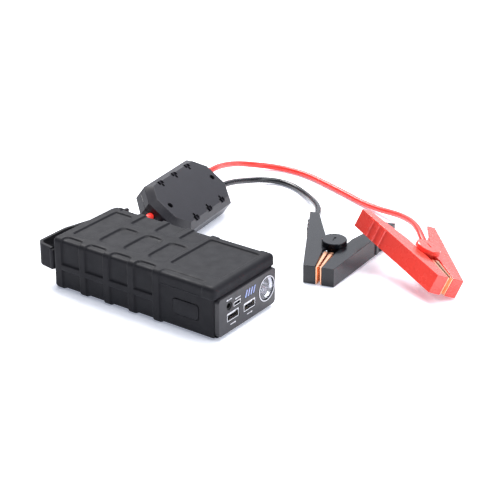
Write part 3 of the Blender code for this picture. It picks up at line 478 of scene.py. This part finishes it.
def armour_form():
    """The armour's closed skin: a rounded block of fine grids, pushed in over each panel."""
    low, high = np.array([REAR, -HALF_WIDTH, 0.0]), np.array([FRONT, HALF_WIDTH, HEIGHT])
    rows = armour_prisms()
    edges = [sorted({v for row in rows + BANDS for v in row[2 * axis:2 * axis + 2]}) for axis in range(3)]
    lines = [grid_lines(low[axis], high[axis], edges[axis], GRID_SPACING) for axis in range(3)]
    verts, faces = [], []
    for axis in range(3):
        u, v = [a for a in range(3) if a != axis]
        for side in (low[axis], high[axis]):
            start = len(verts)
            for a in lines[u]:
                for b in lines[v]:
                    point = [0.0, 0.0, 0.0]
                    point[axis], point[u], point[v] = side, a, b
                    verts.append(point)
            wide = len(lines[v])
            for i in range(len(lines[u]) - 1):
                for j in range(wide - 1):
                    corner = start + i * wide + j
                    faces.append((corner, corner + 1, corner + wide + 1, corner + wide))
    cube = np.array(verts)
    core = np.clip(cube, low + EDGE_ROUND, high - EDGE_ROUND)
    normal = cube - core
    normal /= np.linalg.norm(normal, axis=1)[:, None]
    points = core + normal * EDGE_ROUND
    depth = np.maximum(sunk(points, rows, RECESS, RIB_SLOPE),
                       sunk(points, BANDS, BAND_RECESS, BAND_SLOPE))
    round_rear_corner(points)
    points -= normal * depth[:, None]
    mesh = bpy.data.meshes.new("armour_skin")
    mesh.from_pydata((points * MM).tolist(), [], faces)
    shape = bmesh.new()
    shape.from_mesh(mesh)
    bmesh.ops.remove_doubles(shape, verts=shape.verts, dist=0.00001)
    bmesh.ops.recalc_face_normals(shape, faces=shape.faces)
    shape.to_mesh(mesh)
    shape.free()
    return add("armour_skin", mesh)


def carve(piece, *cutters):
    """Cut solids out of a piece for good."""
    for cutter in cutters:
        step = piece.modifiers.new("cut", "BOOLEAN")
        step.operation = "DIFFERENCE"
        step.solver = "EXACT"
        step.object = cutter
    bpy.context.view_layer.update()
    done = piece.evaluated_get(bpy.context.evaluated_depsgraph_get())
    mesh = bpy.data.meshes.new_from_object(done)
    piece.modifiers.clear()
    piece.data = mesh
    for cutter in cutters:
        bpy.data.objects.remove(cutter, do_unlink=True)
    return piece


def make_armour():
    skin = armour_form()
    width, height = BUTTON_SIZE
    carve(skin,
          block("cut_cavity", *CAVITY),
          block("cut_front", *FRONT_OPENING),
          prism("cut_button", oblong(BUTTON_CENTRE, (width + 2 * BUTTON_GAP, height + 2 * BUTTON_GAP),
                                     OPENING_CORNER), -40.0, -32.0, FACING_Y),
          prism("cut_socket", oblong(SOCKET_CENTRE, SOCKET_OPENING, OPENING_CORNER), 30.0, 40.0, FACING_Y))
    settle(skin, "pack", "armour_rubber", ["armour_sleeve"], SKIN_CREASE)


# ---------------------------------------------------------------- panel, button and strap details

def make_panel_marks():
    """Plain arrows by the openings: out of the USB ports and into the charging ports."""
    marks = [(-17.3, 8.2, -1), (2.5, 7.9, -1), (-22.1, 28.0, 1), (-12.1, 25.6, 1)]
    for index, (y, z, way) in enumerate(marks):
        bar = [(y - 3.4, z - 0.25), (y + 1.6, z - 0.25), (y + 1.6, z - 0.7), (y + 3.2, z),
               (y + 1.6, z + 0.7), (y + 1.6, z + 0.25), (y - 3.4, z + 0.25)]
        if way > 0:
            bar = [(2 * y - a, b) for a, b in bar]
        mark = prism(f"port_mark_{index + 1}", bar, PANEL_FACE, PANEL_FACE + PRINT_THICKNESS,
                     FACING_X)
        settle(mark, "pack", "print")


def make_usb_contacts():
    """Four gilt contact pads under each USB tongue."""
    for name in ("usb_tongue_near", "usb_tongue_far"):
        low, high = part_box(name)
        middle = (low[1] + high[1]) / 2 / MM
        for index, offset in enumerate(CONTACT_OFFSETS):
            pad = block(f"{name}_contact_{index + 1}",
                        (high[0] / MM - 7.5, middle + offset - CONTACT_HALF_WIDTH, low[2] / MM - 0.12),
                        (high[0] / MM - 0.6, middle + offset + CONTACT_HALF_WIDTH, low[2] / MM + 0.02))
            settle(pad, "pack", "gold")


def make_torch():
    """The LED's pale dome, flat at the back, at the bottom of the reflector."""
    low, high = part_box("torch_reflector")
    y, z = (low[1] + high[1]) / 2, (low[2] + high[2]) / 2
    shape = bmesh.new()
    bmesh.ops.create_uvsphere(shape, u_segments=24, v_segments=12, radius=DOME_RADIUS * MM)
    bmesh.ops.translate(shape, verts=shape.verts, vec=(DOME_CENTRE * MM, y, z))
    for vertex in shape.verts:
        vertex.co.x = max(vertex.co.x, DOME_BACK * MM)
    bmesh.ops.remove_doubles(shape, verts=shape.verts, dist=0.000001)
    settle(from_bmesh("torch_led_dome", shape), "pack", "led", smooth=40)


# ---------------------------------------------------------------- stage and light

def make_stage():
    """A white floor and soft lights: the key from behind on the left, as the photograph's shadows show."""
    shape = bmesh.new()
    bmesh.ops.create_grid(shape, x_segments=1, y_segments=1, size=6.0)
    floor = from_bmesh("floor", shape)
    look = finish_of("floor_look", (0.90, 0.90, 0.92), 0.55, 80.0, 0.0, 0.01, Emission_Strength=0.35,
                     Emission_Color=(0.78, 0.84, 1.0, 1.0))
    floor.data.materials.append(look)
    world = bpy.data.worlds.new("studio")
    SCENE.world = world
    world.use_nodes = True
    backdrop = world.node_tree.nodes["Background"]
    backdrop.inputs["Color"].default_value = (0.84, 0.89, 1.0, 1.0)
    backdrop.inputs["Strength"].default_value = 0.24
    lamps = {"key_softbox": ((-1100, 600, 1400), 0.8, 44.0, (1.0, 0.99, 0.98)),
             "top_softbox": ((300, 300, 1500), 1.2, 24.0, (0.97, 0.98, 1.0)),
             "back_wall": ((-550, 1400, 850), 1.4, 8.5, (0.92, 0.94, 1.0)),
             "side_fill": ((1100, 250, 600), 0.8, 8.0, (0.95, 0.97, 1.0))}
    for name, (place, size, power, colour) in lamps.items():
        lamp = bpy.data.lights.new(name, "AREA")
        lamp.size = size
        lamp.energy = power
        lamp.color = colour
        item = bpy.data.objects.new(name, lamp)
        SCENE.collection.objects.link(item)
        item.location = Vector(place) * MM
        item.rotation_euler = (Vector((0, 100, 0)) - Vector(place)).to_track_quat("-Z", "Y").to_euler()
    SCENE.view_settings.view_transform = "Standard"


make_armour()
make_panel_marks()
make_usb_contacts()
make_torch()

# How far each piece's edges are rounded, and the shortest edge that is.
ROUNDED = {"power_button": (0.0, 0.0), "socket_cover_strap": (0.5, 3.0), "front_panel": (0.15, 20.0),
           "plug_housing": (0.3, 5.0), "box_cover": (0.45, 8.0), "box_base": (0.45, 8.0),
           "gland_red": (0.0, 0.0), "gland_black": (0.0, 0.0)}
for clamp in ("black_clamp", "red_clamp"):
    for part in ("cable_handle", "squeeze_handle"):
        ROUNDED[f"{clamp}_{part}"] = (0.5, 9.0)
    for part in ("cable_jaw", "squeeze_jaw", "cap", "pin", "spring"):
        ROUNDED[f"{clamp}_{part}"] = (0.0, 0.0)
# Nodes whose look isn't simply their material slot's.
# The hollow look is painted shade: the box screws, the charge jack and the inner case are kept near-black as the
# holes and gaps they sit in.
LOOKS = {"box_cover": "box_plastic", "box_base": "box_plastic", "box_screw_1": "hollow", "box_screw_2": "hollow",
         "usb_tongue_near": "tongue", "usb_tongue_far": "tongue", "charge_jack": "hollow", "torch_led": "led",
         # The black clamp's spring takes the black sheath look as painted shade, the shadow round its coil
         # between the handles.
         "case_lower": "hollow", "case_upper": "hollow", "black_clamp_spring": "black_rubber"}
# Nodes whose visual pieces are made above.
REPLACED = {"armour_sleeve", "red_cable", "black_cable", "input_lead_red", "input_lead_black"}
for node in sorted(NODES):
    if node in REPLACED:
        dress(node)
    elif node in ROUNDED:
        dress(node)
        soften(node, ROUNDED[node][0], LOOKS.get(node), ROUNDED[node][1])
    else:
        dress(node, LOOKS.get(node))
make_stage()
